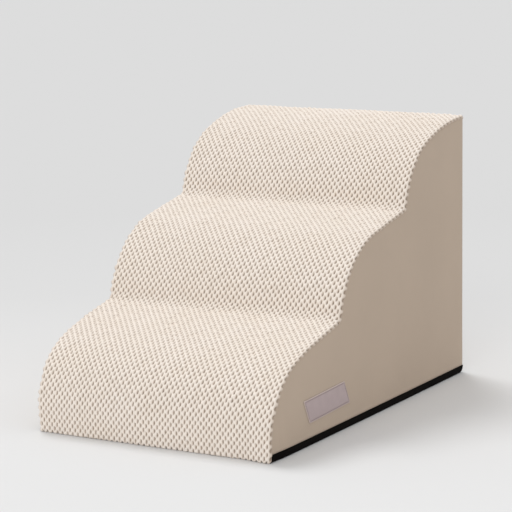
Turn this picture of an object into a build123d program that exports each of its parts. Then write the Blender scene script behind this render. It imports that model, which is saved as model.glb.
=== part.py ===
from build123d import *
import os
from math import atan2, degrees, hypot, sqrt

# Three-step foam pet stairs in a removable zipped cover.
# Millimetres. +Z up, the lowest step towards -Y, the tall rear face towards +Y.
# The origin is on the floor, below the middle of the whole object.

# Stairs: overall width, and each step's depth, height and shoulder, lowest first.
# A shoulder's arc starts at its lift above the tread in front of it, or below that tread's level.
stair_width = 380.0
step_runs = (188.0, 206.0, 206.0)
step_rises = (149.0, 127.0, 124.0)
shoulder_lifts = (31.0, -18.0, -15.0)
shoulder_radii = (98.0, 134.0, 122.0)
shoulder_limit_share = 0.93
notch_radius = 20.0

# Crown: how far the covered top falls towards each side seam, and over what width
edge_fall = 0.8
edge_width = 36.0
crown_width_shares = (1.0, 0.5, 0.0)
crown_fall_shares = (0.0, 0.25, 1.0)

# Cover: knit over the steps, smooth side and rear panels, black base with a turned-up edge
knit_thickness = 3.0
knit_overhang = 0.4
panel_thickness = 1.2
base_thickness = 1.2
band_height = 11.0
base_side_radius = 1.4
base_rear_radius = 9.0
layer_gap = 0.3

# Foam
comfort_thickness = 20.0

# Grip dots under the base
dot_diameter = 8.0
dot_height = 0.4
dot_pitch = 28.0
dot_margin = 20.0

# Label patch on the right side panel, with its stitches
label_length = 118.0
label_width = 35.0
label_thickness = 0.8
label_corner = 2.0
label_lean = 15.5
label_from_front = 150.5
label_height = 51.0
label_tilt = 1.9
stitch_length = 2.6
stitch_pitch = 3.8
stitch_width = 0.7
stitch_height = 0.35
stitch_inset = 2.6

# Care label caught in the rear left seam
care_length = 42.0
care_width = 26.0
care_thickness = 0.5
care_height = 96.0

# Zip across the rear: its opening in the panel, tapes and coil
zip_height = 30.0
zip_end_margin = 16.0
zip_window_width = 18.0
zip_window_corner = 2.0
tape_thickness = 0.6
tape_seam = 4.0
tape_gap = 0.8
coil_width = 6.2
coil_height = 2.4
coil_pitch = 1.27
tooth_root = 1.0
tooth_reach = 0.7
tooth_width_share = 0.42

# Zip slider, stops and pull
run_gap = 0.3
slider_length = 12.4
slider_width = 9.6
slider_inner_width = 8.0
slider_plate = 1.0
slider_corner = 2.2
mouth_length = 3.4
post_width = 1.8
post_length = 2.6
post_setback = 0.5
bail_length = 7.0
bail_width = 2.0
bail_bar = 1.0
bail_corner = 0.6
stop_length = 2.6
stop_width = 3.1
stop_margin = 3.0
stop_wall = 0.7
bottom_stop_length = 4.0
pull_bar = 1.6
pull_bar_gap = 0.35
pull_side_gap = 0.5
pull_arm = 1.2
pull_window = 6.0
pull_length = 28.0
pull_width = 8.0
pull_corner = 3.0
pull_dent = 0.3
pull_dent_margin = 1.8

# One overrun serves all cuts
overrun = 5.0

# Places worked out from the sizes above
stair_length = sum(step_runs)
stair_height = sum(step_rises)
slider_top = coil_height + run_gap + slider_plate
bail_top = slider_top + pull_bar + 2 * pull_bar_gap + bail_bar
zip_proud = bail_top - panel_thickness
front = -(stair_length + zip_proud) / 2
rear = front + stair_length
half_width = stair_width / 2
panel_face = half_width - knit_overhang
foam_side = panel_face - panel_thickness
foam_rear = rear - panel_thickness
tape_face = foam_rear
window_half = panel_face - zip_end_margin
stop_inner = window_half - stop_margin - stop_length
slider_x = stop_inner - run_gap - slider_length / 2
post_front = slider_x + slider_length / 2 - post_setback
post_back = post_front - post_length
bottom_stop_end = -window_half + stop_margin + bottom_stop_length
zip_travel = slider_x - slider_length / 2 - run_gap - bottom_stop_end
pull_axis = tape_face + slider_top + pull_bar_gap + pull_bar / 2


def box(low, high):
    """A box from its lowest to its highest corner."""
    size = [b - a for a, b in zip(low, high)]
    return Pos(*low) * Box(*size, align=(Align.MIN, Align.MIN, Align.MIN))


def toward(start, target, distance):
    """The point this far from start in the direction of target."""
    length = hypot(target[0] - start[0], target[1] - start[1])
    share = distance / length
    return (start[0] + (target[0] - start[0]) * share, start[1] + (target[1] - start[1]) * share)


def bisector_point(centre, radius, first, second):
    """The point on a circle midway between the directions of two other points."""
    a = toward(centre, first, radius)
    b = toward(centre, second, radius)
    return toward(centre, ((a[0] + b[0]) / 2, (a[1] + b[1]) / 2), radius)


def step_circles(index):
    """The shoulder and tread circles of a step: a tangent pair, level where the tread ends."""
    y = front + sum(step_runs[:index])
    run = step_runs[index]
    start = sum(step_rises[:index]) + shoulder_lifts[index]
    top = sum(step_rises[: index + 1])
    rise = top - start
    small = min(shoulder_radii[index], shoulder_limit_share * rise)
    large = (run**2 + rise**2 - 2 * run * small) / (2 * (rise - small))
    return (y + small, start), small, (y + run, top - large), large


def notch_centre(tread, tread_radius, shoulder, shoulder_radius):
    """The centre of the notch's arc, which touches a tread's circle and the next shoulder's."""
    from_tread = tread_radius + notch_radius
    from_shoulder = shoulder_radius + notch_radius
    y = shoulder[0] - tread[0]
    z = shoulder[1] - tread[1]
    span = hypot(y, z)
    along = (from_tread**2 - from_shoulder**2 + span**2) / (2 * span)
    aside = sqrt(from_tread**2 - along**2)
    return (tread[0] + (y * along - z * aside) / span, tread[1] + (z * along + y * aside) / span)


def outline(x, inset, floor, back):
    """The stairs' side outline at x, drawn in by inset along the steps, down to floor."""
    edges = []

    def line(a, b):
        edges.append(Edge.make_line(Vector(x, *a), Vector(x, *b)))

    def arc(a, middle, b):
        edges.append(Edge.make_three_point_arc(Vector(x, *a), Vector(x, *middle), Vector(x, *b)))

    steps = [step_circles(index) for index in range(len(step_runs))]
    first = (front + inset, floor)
    here = (front + inset, steps[0][0][1])
    line(first, here)
    for index, (c1, small, c2, large) in enumerate(steps):
        join = toward(c2, c1, large - inset)
        arc(here, bisector_point(c1, small - inset, here, join), join)
        if index < len(steps) - 1:
            above, above_radius = steps[index + 1][:2]
            notch = notch_centre(c2, large, above, above_radius)
            end = toward(c2, notch, large - inset)
            here = toward(above, notch, above_radius - inset)
            arc(join, bisector_point(c2, large - inset, join, end), end)
            arc(end, bisector_point(notch, notch_radius + inset, end, here), here)
        else:
            end = (back, c2[1] + sqrt((large - inset) ** 2 - (back - c2[0]) ** 2))
            arc(join, bisector_point(c2, large - inset, join, end), end)
            here = end
    line(here, (back, floor))
    line((back, floor), first)
    return Wire(edges)


def crowned(inset, floor, back, past=0.0):
    """The stairs' solid between the side seams, crowned, and run past them if asked."""
    places = []
    for width_share, fall_share in zip(crown_width_shares, crown_fall_shares):
        places.append((half_width - edge_width * width_share, inset + edge_fall * fall_share))
    if past:
        places.append((half_width + past, places[-1][1]))
    right = [outline(x, deep, floor, back) for x, deep in places]
    left = [outline(-x, deep, floor, back) for x, deep in reversed(places)]
    return Solid.make_loft(left + right, ruled=True)


def inner_radius(radius, inset):
    """A rounded edge's radius this far inside it, kept open where the edge is small."""
    return max(radius - inset, radius / 4)


def rounded_block(inset, top):
    """The inside of the base tray: a block with rounded lower side and rear edges."""
    low = dot_height + inset
    side = panel_face - inset
    back = rear - inset
    block = box((-side, front - overrun, low), (side, back, top))
    sides = block.edges().filter_by(Axis.Y).group_by(Axis.Z)[0]
    block = fillet(sides, inner_radius(base_side_radius, inset))
    rear_edge = block.edges().filter_by(Axis.X).group_by(Axis.Z)[0].sort_by(Axis.Y)[-1]
    return fillet(rear_edge, inner_radius(base_rear_radius, inset))


def make_tread_panel():
    """The knit over the front and the steps, from the base's underside to the rear seam."""
    outer = crowned(0.0, dot_height, rear)
    inner = crowned(knit_thickness, dot_height - overrun, rear + overrun, overrun)
    return outer - inner


def make_side_panel(side, inside):
    """One side panel, cut from a slab by the space inside the knit."""
    ends = sorted((side * foam_side, side * panel_face))
    slab = box((ends[0], front, band_height), (ends[1], foam_rear, stair_height))
    return slab & inside


def zip_window(margin, low, high):
    """A block through the rear at the zip's opening, larger by margin all round."""
    half_length = window_half + margin
    half = zip_window_width / 2 + margin
    return box((-half_length, low, zip_height - half), (half_length, high, zip_height + half))


def make_rear_panel(inside):
    slab = box((-panel_face, foam_rear, band_height), (panel_face, rear, stair_height))
    window = zip_window(0.0, foam_rear - overrun, rear + overrun)
    window = fillet(window.edges().filter_by(Axis.Y), zip_window_corner)
    return (slab & inside) - window


def grip_dots():
    """Rows of dots, centred below the base panel's flat stretch."""
    flat_half = panel_face - base_side_radius - dot_margin
    flat_front = front + knit_thickness + dot_margin
    flat_rear = rear - base_rear_radius - dot_margin
    across = 2 * int(flat_half / dot_pitch) + 1
    along = int((flat_rear - flat_front) / dot_pitch) + 1
    middle = (flat_front + flat_rear) / 2
    dot = Cylinder(dot_diameter / 2, dot_height, align=(Align.CENTER, Align.CENTER, Align.MIN))
    dots = []
    for row in range(along):
        y = middle + (row - (along - 1) / 2) * dot_pitch
        for column in range(across):
            x = (column - (across - 1) / 2) * dot_pitch
            dots.append(Pos(x, y, 0) * dot)
    return dots


def make_base_panel(inside):
    """The black base: a plate with dots printed below it, turned up at the sides and the rear."""
    block = inside & box((-half_width, front, dot_height), (half_width, rear, band_height))
    tray = block & rounded_block(0.0, stair_height)
    tray -= rounded_block(base_thickness, stair_height + overrun)
    return tray.fuse(*grip_dots())


def foam_space(inside):
    """The space that both foams fill, with the shallow hollow that the zip presses in."""
    block = rounded_block(base_thickness, stair_height + overrun)
    hollow_depth = tape_thickness + slider_plate + 2 * run_gap
    hollow = zip_window(tape_seam + run_gap, foam_rear - hollow_depth, rear + overrun)
    return (inside & block) - hollow


def below_comfort(inset):
    """All that lies this far inside the steps, as a solid past both sides, floor and rear."""
    wires = [outline(x, inset, -overrun, rear + overrun) for x in (-stair_width, stair_width)]
    return Solid.make_loft(wires, ruled=True)


def make_foams(inside):
    """The support foam, and the softer foam over it along the steps."""
    space = foam_space(inside)
    core = space & below_comfort(knit_thickness + layer_gap + comfort_thickness)
    comfort = space - below_comfort(knit_thickness + comfort_thickness)
    return core, comfort


def label_place():
    """Where the label's back lies: a frame on the right side panel, its Z pointing outwards."""
    centre = (panel_face, front + label_from_front, label_height)
    return Location(Plane(origin=centre, x_dir=(0, 1, 0), z_dir=(1, 0, 0))) * Rot(0, 0, label_tilt)


def leaning(u, v):
    """A place on the label, whose short edges lean."""
    return u - label_lean * v / label_width, v


def make_label_patch():
    half = label_width / 2
    ends = ((-1, -half), (1, -half), (1, half), (-1, half))
    corners = [Vector(*leaning(side * label_length / 2, v)) for side, v in ends]
    sheet = extrude(make_face(Polyline(corners, close=True)), label_thickness, dir=(0, 0, 1))
    return label_place() * fillet(sheet.edges().filter_by(Axis.Z), label_corner)


def make_label_stitching():
    """One row of stitches along each edge of the label."""
    half_length = label_length / 2 - stitch_inset
    half = label_width / 2 - stitch_inset
    along = Box(stitch_length, stitch_width, stitch_height, align=(Align.CENTER, Align.CENTER, Align.MIN))
    upright = Rot(0, 0, 90 + degrees(atan2(label_lean, label_width))) * along
    stitches = []
    rows = ((half_length, half, along, False), (half, half_length, upright, True))
    for reach, offset, piece, turned in rows:
        count = int((2 * reach - stitch_pitch) / stitch_pitch)
        for index in range(count):
            place = (index - (count - 1) / 2) * stitch_pitch
            for side in (-1, 1):
                x, y = leaning(side * offset, place) if turned else leaning(place, side * offset)
                stitches.append(label_place() * Pos(x, y, label_thickness) * piece)
    return Compound(stitches)


def make_care_label():
    low = care_height - care_width / 2
    high = low + care_width
    return box((-panel_face, rear, low), (-panel_face + care_length, rear + care_thickness, high))


def rear_plate(points, low, high):
    """A plate parallel to the rear, from its corners in X and Z, between two places in Y."""
    face = make_face(Polyline([Vector(x, low, z) for x, z in points], close=True))
    return extrude(face, high - low, dir=(0, 1, 0))


def make_zip_tape(side):
    """One tape, side 1 above and -1 below; its inner edge opens out before the slider's post."""
    end = window_half + tape_seam
    outer = side * (zip_window_width / 2 + tape_seam)
    inner = side * tape_gap / 2
    opened = side * (post_width / 2 + run_gap)
    points = [
        (-end, zip_height + outer),
        (-end, zip_height + inner),
        (post_back - post_length, zip_height + inner),
        (post_back - run_gap, zip_height + opened),
        (end, zip_height + opened),
        (end, zip_height + outer),
    ]
    return rear_plate(points, tape_face - tape_thickness, tape_face)


def make_zip_coil(side):
    """One half of the coil: a strip with a row of teeth that reach past the middle."""
    start = bottom_stop_end + run_gap
    length = post_back - run_gap - start
    count = int(length / coil_pitch)
    tooth = tooth_width_share * coil_pitch
    first = start + (length - count * coil_pitch) / 2 + (coil_pitch / 4 if side > 0 else 3 * coil_pitch / 4)
    back = zip_height + side * coil_width / 2
    root = zip_height + side * tooth_root
    tip = zip_height - side * tooth_reach
    points = [(start, back), (start, root)]
    for index in range(count):
        middle = first + index * coil_pitch
        low = middle - tooth / 2
        high = middle + tooth / 2
        points += [(low, root), (low, tip), (high, tip), (high, root)]
    points += [(start + length, root), (start + length, back)]
    return rear_plate(points, tape_face, tape_face + coil_height)


def stop_block(start, length, low, high, tapes):
    """A metal clip round the tapes, from low to high in Z."""
    inner = tape_face - tape_thickness - stop_wall
    clip = box((start, inner, low), (start + length, tape_face + coil_height, high))
    for tape in tapes:
        clip = clip - tape
    return clip


def make_zip_top_stops(upper, lower):
    near = post_width / 2 + run_gap - stop_wall
    far = near + stop_width
    above = stop_block(stop_inner, stop_length, zip_height + near, zip_height + far, [upper])
    below = stop_block(stop_inner, stop_length, zip_height - far, zip_height - near, [lower])
    return Compound([above, below])


def make_zip_bottom_stop(upper, lower):
    start = bottom_stop_end - bottom_stop_length
    half = coil_width / 2
    return stop_block(start, bottom_stop_length, zip_height - half, zip_height + half, [upper, lower])


def slider_block(half_length, half, low, high, corner=0.0):
    """A block on the slider's centre, between two distances from the tapes' outer face."""
    block = box(
        (slider_x - half_length, tape_face + low, zip_height - half),
        (slider_x + half_length, tape_face + high, zip_height + half),
    )
    return fillet(block.edges().filter_by(Axis.Y), corner) if corner else block


def make_zip_slider():
    """Two plates joined by a post between the coils, side flanges, and a bail for the pull."""
    half_length = slider_length / 2
    channel_top = coil_height + run_gap
    inner_top = -tape_thickness - run_gap
    outer_plate = slider_block(half_length, slider_width / 2, channel_top, slider_top, slider_corner)
    inner_plate = slider_block(
        half_length, slider_inner_width / 2, inner_top - slider_plate, inner_top, slider_corner
    )
    post = box(
        (post_back, tape_face + inner_top - slider_plate, zip_height - post_width / 2),
        (post_front, tape_face + slider_top, zip_height + post_width / 2),
    )
    post = fillet(post.edges().filter_by(Axis.Y), post_width / 4)
    flanges = slider_block(half_length, slider_width / 2, run_gap, slider_top, slider_corner)
    flanges -= slider_block(slider_length, coil_width / 2 + run_gap, 0.0, channel_top)
    mouth = box(
        (slider_x + half_length - mouth_length, tape_face, zip_height - slider_width),
        (slider_x + slider_length, tape_face + channel_top, zip_height + slider_width),
    )
    flanges -= mouth
    bail = slider_block(bail_length / 2, bail_width / 2, slider_top, bail_top)
    top_edges = bail.edges().filter_by(Axis.Z).group_by(Axis.Y)[-1]
    bail = fillet(top_edges, bail_corner)
    bail -= slider_block(bail_length / 2 - bail_bar, bail_width, slider_top, bail_top - bail_bar)
    return outer_plate + flanges + inner_plate + post + bail


def make_zip_pull():
    """A tab on two arms, whose round cross bar lies under the slider's bail."""
    half = pull_bar / 2
    arm_inner = bail_width / 2 + pull_side_gap
    arm_outer = arm_inner + pull_arm
    bar = Pos(slider_x, pull_axis, zip_height) * Cylinder(half, 2 * arm_outer)
    pull = bar
    for side in (-1, 1):
        ends = sorted((side * arm_inner, side * arm_outer))
        pull += box(
            (slider_x - pull_window, pull_axis - half, zip_height + ends[0]),
            (slider_x, pull_axis + half, zip_height + ends[1]),
        )
    tab = box(
        (slider_x - pull_length, pull_axis - half, zip_height - pull_width / 2),
        (slider_x - pull_window, pull_axis + half, zip_height + pull_width / 2),
    )
    far_edges = tab.edges().filter_by(Axis.Y).group_by(Axis.X)[0]
    tab = fillet(far_edges, pull_corner)
    near_edges = tab.edges().filter_by(Axis.Y).group_by(Axis.X)[-1]
    tab = fillet(near_edges, pull_dent_margin / 2)
    dent_low = (slider_x - pull_length + pull_dent_margin, zip_height - pull_width / 2 + pull_dent_margin)
    dent_high = (slider_x - pull_window - pull_dent_margin, zip_height + pull_width / 2 - pull_dent_margin)
    for side in (-1, 1):
        face = pull_axis + side * half
        ends = sorted((face - side * pull_dent, face + side * overrun))
        dent = box((dent_low[0], ends[0], dent_low[1]), (dent_high[0], ends[1], dent_high[1]))
        tab -= fillet(dent.edges().filter_by(Axis.Y), pull_dent_margin / 2)
    return pull + tab


def main():
    os.makedirs("parts", exist_ok=True)
    inside = crowned(knit_thickness + layer_gap, -overrun, rear + overrun, overrun)
    core, comfort = make_foams(inside)
    upper = make_zip_tape(1)
    lower = make_zip_tape(-1)
    nodes = {
        "support_foam_core": core,
        "comfort_foam_layer": comfort,
        "tread_panel": make_tread_panel(),
        "left_side_panel": make_side_panel(-1, inside),
        "right_side_panel": make_side_panel(1, inside),
        "rear_panel": make_rear_panel(inside),
        "base_panel": make_base_panel(inside),
        "zip_tape_upper": upper,
        "zip_tape_lower": lower,
        "zip_coil_upper": make_zip_coil(1),
        "zip_coil_lower": make_zip_coil(-1),
        "zip_top_stops": make_zip_top_stops(upper, lower),
        "zip_bottom_stop": make_zip_bottom_stop(upper, lower),
        "zip_slider": make_zip_slider(),
        "zip_pull": make_zip_pull(),
        "label_patch": make_label_patch(),
        "label_stitching": make_label_stitching(),
        "care_label": make_care_label(),
    }
    for name, shape in nodes.items():
        export_step(shape, f"parts/{name}.step")
    print(f"zip travel {zip_travel:.2f}, slider at x {slider_x:.2f}")
    print(f"pull axis at y {pull_axis:.3f}, z {zip_height:.2f}")
    print(f"front {front:.2f}, rear {rear:.2f}, height {stair_height:.2f}")


main()
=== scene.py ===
from math import acos, atan, atan2, ceil, cos, dist, pi, radians, sin, sqrt

import bmesh
import bpy
import numpy as np
from mathutils import Matrix, Vector
from mathutils.geometry import delaunay_2d_cdt


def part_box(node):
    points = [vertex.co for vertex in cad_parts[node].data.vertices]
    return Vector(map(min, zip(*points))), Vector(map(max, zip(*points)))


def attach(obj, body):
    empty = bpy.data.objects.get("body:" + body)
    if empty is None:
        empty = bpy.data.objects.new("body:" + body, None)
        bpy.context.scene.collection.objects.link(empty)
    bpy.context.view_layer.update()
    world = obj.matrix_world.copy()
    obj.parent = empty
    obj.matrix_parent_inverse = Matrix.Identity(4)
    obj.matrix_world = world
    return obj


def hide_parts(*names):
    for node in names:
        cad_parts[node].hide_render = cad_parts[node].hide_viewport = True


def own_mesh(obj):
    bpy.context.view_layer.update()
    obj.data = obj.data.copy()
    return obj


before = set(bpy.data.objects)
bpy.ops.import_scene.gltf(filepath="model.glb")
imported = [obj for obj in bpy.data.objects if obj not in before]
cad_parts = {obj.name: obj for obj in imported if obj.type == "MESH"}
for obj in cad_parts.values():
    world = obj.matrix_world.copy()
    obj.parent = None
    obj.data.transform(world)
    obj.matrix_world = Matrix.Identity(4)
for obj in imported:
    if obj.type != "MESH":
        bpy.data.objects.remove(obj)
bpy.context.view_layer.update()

# Sizes are in millimetres, and the meshes are made in metres
MM = 0.001
COVER = "covered_foam"


def node_box(node):
    """A CAD node's lowest and highest corner, in millimetres."""
    return [np.array(corner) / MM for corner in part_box(node)]


# The covered stairs, from the frame
knit_low, knit_high = node_box("tread_panel")
HALF_WIDTH = knit_high[0]
FRONT = knit_low[1]
REAR = knit_high[1]
UNDERSIDE = knit_low[2]
TOP = knit_high[2]
PANEL_FACE = node_box("right_side_panel")[1][0]
BAND_TOP = node_box("base_panel")[1][2]

# The steps' outline, lowest first: each tread's end climbs straight to the next riser, and the
# cloth bridges this notch softly, more so inside the side seams than at them
STEP_RUNS = (188.0, 206.0, 206.0)
STEP_RISES = (149.0, 127.0, 124.0)
SHOULDER_LIFTS = (31.0, -18.0, -15.0)
SHOULDER_RADII = (100.0, 137.0, 125.0)
TREAD_CLIMB = 8.5
SEAM_SOFTNESS = 2.5
NOTCH_SOFTNESS = 10.0
NOTCH_BRIDGE = 16.0
EDGE_FALL = 0.8
EDGE_WIDTH = 36.0

# Soft shape of the whole cover
SIDE_BULGE = 1.0
CORNER_HEIGHT = 150.0
CORNER_DEPTH = 50.0
CORNER_DRAW = 2.2
CORNER_PUSH = 6.0
LEFT_CORNER_DRAW = 1.5
FRONT_DRAW = 0.8

# Knit: a lattice of puffed kernels with narrow slots between them
KNIT_COLUMN = 2 * HALF_WIDTH / 43
KNIT_ROW = 11.3
KNIT_SKEW = 0.03
KNIT_CURL = 2.6
KNIT_TAIL = 4.0
KNIT_TUCK = 2.6
KNIT_RELIEF = 3.0
KNIT_PROUD = 2.1
KERNEL_LEAN = 0.06
KERNEL_TWIST = 0.05
KERNEL_PUFF = 0.9
KERNEL_TOP = 1.3
KERNEL_BLEND = 0.07
KERNEL_VARIATION = 0.16
KERNEL_HALF_WIDTH = 0.54 * KNIT_COLUMN
KERNEL_HALF_LENGTH = 0.56 * KNIT_ROW
SLOT_WIDTH = 0.86
SLOT_LENGTH = 2.7
SLOT_LEAN = 0.12
FLAP_DRAW = 2.5
FLOOR_CLEARANCE = 0.15
ACROSS_SHARES = (0.0, 0.16, 0.38, 0.62, 0.84)
SAMPLES_ALONG = 8

# Lengths from the outline's ends between which its softening sets in
SHARP_ENDS = (60, 90)

# Smooth panels: how they are inset, cut and crowned
PANEL_INSET = 2.0
PANEL_END_INSET = 0.7
BAND_OVERLAP = 0.4
PANEL_SPACING = 6.0
SEAM_SPACING = 3.0
SEAM_RINGS = (0.8, 1.8, 3.6)
SEAM_SHADE = 1.6
CLOTH_CROWN = 0.6
CLOTH_TUCK = 1.2
TUCK_REACH = 1.1

# Uneven kernels, from a fixed seed
KERNEL_TABLE = (97, 89)
rng = np.random.default_rng(7)
kernel_heights = np.clip(rng.normal(size=KERNEL_TABLE), -2, 2)
kernel_twists = np.clip(rng.normal(size=KERNEL_TABLE), -2, 2)


def add_object(name, data):
    """A new object in the scene."""
    obj = bpy.data.objects.new(name, data)
    bpy.context.scene.collection.objects.link(obj)
    return obj


def new_mesh(name, points, faces, smooth=True):
    """A mesh object from points in millimetres."""
    mesh = bpy.data.meshes.new(name)
    mesh.from_pydata((np.asarray(points, float) * MM).tolist(), [], [list(f) for f in faces])
    mesh.update()
    if smooth:
        mesh.shade_smooth()
    return add_object(name, mesh)


def grid_mesh(name, points, flip=False):
    """A mesh object from a grid of points in millimetres, rows by columns by 3."""
    rows, columns = points.shape[:2]
    index = np.arange(rows * columns).reshape(rows, columns)
    quads = np.stack([index[:-1, :-1], index[:-1, 1:], index[1:, 1:], index[1:, :-1]], -1).reshape(-1, 4)
    if flip:
        quads = quads[:, ::-1]
    mesh = bpy.data.meshes.new(name)
    mesh.vertices.add(rows * columns)
    mesh.vertices.foreach_set("co", (points.reshape(-1, 3) * MM).astype(np.float32).ravel())
    mesh.loops.add(quads.size)
    mesh.loops.foreach_set("vertex_index", quads.astype(np.int32).ravel())
    mesh.polygons.add(len(quads))
    mesh.polygons.foreach_set("loop_start", (np.arange(len(quads)) * 4).astype(np.int32))
    mesh.polygons.foreach_set("loop_total", np.full(len(quads), 4, np.int32))
    mesh.update(calc_edges=True)
    mesh.validate()
    mesh.shade_smooth()
    return add_object(name, mesh)


def point_value(obj, name, values):
    """Stores a number per vertex, which the material reads by name."""
    attribute = obj.data.attributes.new(name, "FLOAT", "POINT")
    attribute.data.foreach_set("value", np.asarray(values, np.float32).ravel())


def smooth_step(low, high, value):
    """0 below low, 1 above high and smooth between."""
    share = np.clip((np.asarray(value, float) - low) / (high - low), 0, 1)
    return share * share * (3 - 2 * share)


def edge_fall(x):
    """How far the crowned steps fall at x."""
    return EDGE_FALL * np.clip((np.abs(x) - HALF_WIDTH + EDGE_WIDTH) / EDGE_WIDTH, 0, 1) ** 2


def settled(points, push=CORNER_PUSH):
    """The cover's soft shape: its sides bulge a little, and its front corners lean at the floor."""
    x, y, z = np.moveaxis(np.asarray(points, float), -1, 0)
    outer = np.clip(np.abs(x) / HALF_WIDTH, 0, 1)
    middle = (FRONT + REAR) / 2
    bulge = SIDE_BULGE * (1 - ((y - middle) / (REAR - middle)) ** 2) * outer**6
    low = 1 - smooth_step(0, CORNER_HEIGHT, z)
    near = 1 - smooth_step(0, CORNER_DEPTH, y - FRONT)
    drawn = np.where(x > 0, CORNER_DRAW, LEFT_CORNER_DRAW) * low * near * outer
    back = (1 + smooth_step(0.7, 1.0, outer)) * FRONT_DRAW * low**8 * near
    back = back - push * smooth_step(0.75, 1.0, x / HALF_WIDTH) * low**3 * near
    return np.stack([x + np.sign(x) * (bulge - drawn), y + back, z], -1)


# Outline of the steps


class Path:
    """A line of points in Y and Z with outward normals, made of straight runs and arcs."""

    def __init__(self, spacing=0.5):
        self.spacing = spacing
        self.points = []
        self.normals = []

    def line(self, start, end, normal):
        count = max(2, int(dist(start, end) / self.spacing))
        start, end = np.array(start), np.array(end)
        for share in np.arange(count) / count:
            self.points.append(list(start + (end - start) * share))
            self.normals.append(list(normal))

    def arc(self, centre, radius, start, end, outward=1):
        count = max(3, int(abs(end - start) * radius / self.spacing))
        for share in np.arange(count) / count:
            angle = start + (end - start) * share
            away = [cos(angle), sin(angle)]
            self.points.append([centre[0] + radius * away[0], centre[1] + radius * away[1]])
            self.normals.append([outward * away[0], outward * away[1]])

    def finished(self):
        points = np.array(self.points)
        normals = np.array(self.normals)
        length = np.r_[0, np.cumsum(np.hypot(*np.diff(points, axis=0).T))]
        return points, normals, length


def angle_of(start, end):
    return atan2(end[1] - start[1], end[0] - start[0])


def step_circles(index):
    """The shoulder and tread circles of a step: a tangent pair, level where the tread ends."""
    y = FRONT + sum(STEP_RUNS[:index])
    run = STEP_RUNS[index]
    start = sum(STEP_RISES[:index]) + SHOULDER_LIFTS[index]
    rise = sum(STEP_RISES[: index + 1]) - start
    small = SHOULDER_RADII[index]
    large = (run**2 + rise**2 - 2 * run * small) / (2 * (rise - small))
    return (y + small, start), small, (y + run, start + rise - large), large


def circle_crossing(start, run, centre, radius):
    """Where a line from start, along the unit vector run, first meets a circle."""
    away = (start[0] - centre[0], start[1] - centre[1])
    along = away[0] * run[0] + away[1] * run[1]
    reach = -along - sqrt(along**2 - away[0] ** 2 - away[1] ** 2 + radius**2)
    return start[0] + reach * run[0], start[1] + reach * run[1]


def step_outline(path, inset, rear, first_z):
    """Adds the steps' outline, drawn in by inset, from the lowest riser to the rear."""
    steps = [step_circles(index) for index in range(len(STEP_RUNS))]
    path.line((FRONT + inset, first_z), (FRONT + inset, steps[0][0][1]), (-1, 0))
    start = pi
    for index, (c1, small, c2, large) in enumerate(steps):
        join = angle_of(c2, c1)
        path.arc(c1, small - inset, start, join)
        if index < len(steps) - 1:
            above, above_radius = steps[index + 1][:2]
            slope = atan(sqrt(2 * TREAD_CLIMB / large))
            normal = (-sin(slope), cos(slope))
            path.arc(c2, large - inset, join, pi / 2 + slope)
            leave = (c2[0] + (large - inset) * normal[0], c2[1] + (large - inset) * normal[1])
            meet = circle_crossing(leave, (normal[1], -normal[0]), above, above_radius - inset)
            path.line(leave, meet, normal)
            start = angle_of(above, meet)
        else:
            path.arc(c2, large - inset, join, acos((rear - c2[0]) / (large - inset)))
    return c2[1] + sqrt((large - inset) ** 2 - (rear - c2[0]) ** 2)


def softened(values, length, reach):
    """A line of values smoothed over reach, its ends kept."""
    step = length[-1] / (len(length) - 1)
    even = np.linspace(0, length[-1], len(length))
    half = int(4 * reach / step)
    bell = np.exp(-((np.arange(-half, half + 1) * step / reach) ** 2) / 2)
    padded = np.pad(np.interp(even, length, values), half, mode="edge")
    return np.interp(length, even, np.convolve(padded, bell / bell.sum(), mode="valid"))


# Knit


def lattice_drift(u, along):
    """How far the knit's columns wander sideways."""
    calm = 1 - smooth_step(0.85, 0.97, np.abs(u) * KNIT_COLUMN / HALF_WIDTH)
    return calm * (0.4 * np.sin(along / 61 + 0.3 * u) + 0.25 * np.sin(along / 23 + u / 7))


def kernel_field(u, v):
    """Height, about 1 on a kernel and below 0 in a slot, and how deep in a slot a place is."""
    best = np.full(u.shape, -9.0)
    slot = np.zeros(u.shape)
    for shift_u, shift_v in ((0.5, 0.0), (0.0, 0.5)):
        cell_u = np.round(u - shift_u)
        cell_v = np.round(v - shift_v)
        du = (u - shift_u - cell_u) * KNIT_COLUMN
        dv = (v - shift_v - cell_v) * KNIT_ROW
        row = (cell_u.astype(int) * 2 + int(2 * shift_u)) % KERNEL_TABLE[0]
        column = (cell_v.astype(int) * 2 + int(2 * shift_v)) % KERNEL_TABLE[1]
        lean = KERNEL_LEAN + KERNEL_TWIST * kernel_twists[row, column]
        radius = np.hypot((du - lean * dv) / KERNEL_HALF_WIDTH, dv / KERNEL_HALF_LENGTH)
        dome = (1 + KERNEL_VARIATION * kernel_heights[row, column]) * (1 - radius**2)
        best = KERNEL_BLEND * np.logaddexp(best / KERNEL_BLEND, dome / KERNEL_BLEND)
        hole_u = (u - (0.5 - shift_u) - np.round(u - (0.5 - shift_u))) * KNIT_COLUMN - SLOT_LEAN * dv
        slot += np.exp(-((np.abs(hole_u) / SLOT_WIDTH) ** 3) - (np.abs(dv) / SLOT_LENGTH) ** 3)
    slot = np.clip(slot, 0, 1)
    return 1 - KERNEL_PUFF + KERNEL_PUFF * np.clip(best, 0, KERNEL_TOP) - slot, slot


def slow_swell(across, along):
    """The uneven rise of cloth that lies over foam."""
    swell = 0.5 * np.sin(across / 71 + along / 97 + 1.0) * np.sin(along / 83 - across / 160)
    return swell + 0.25 * np.sin(across / 29 + 2.1) * np.sin(along / 37)


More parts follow.
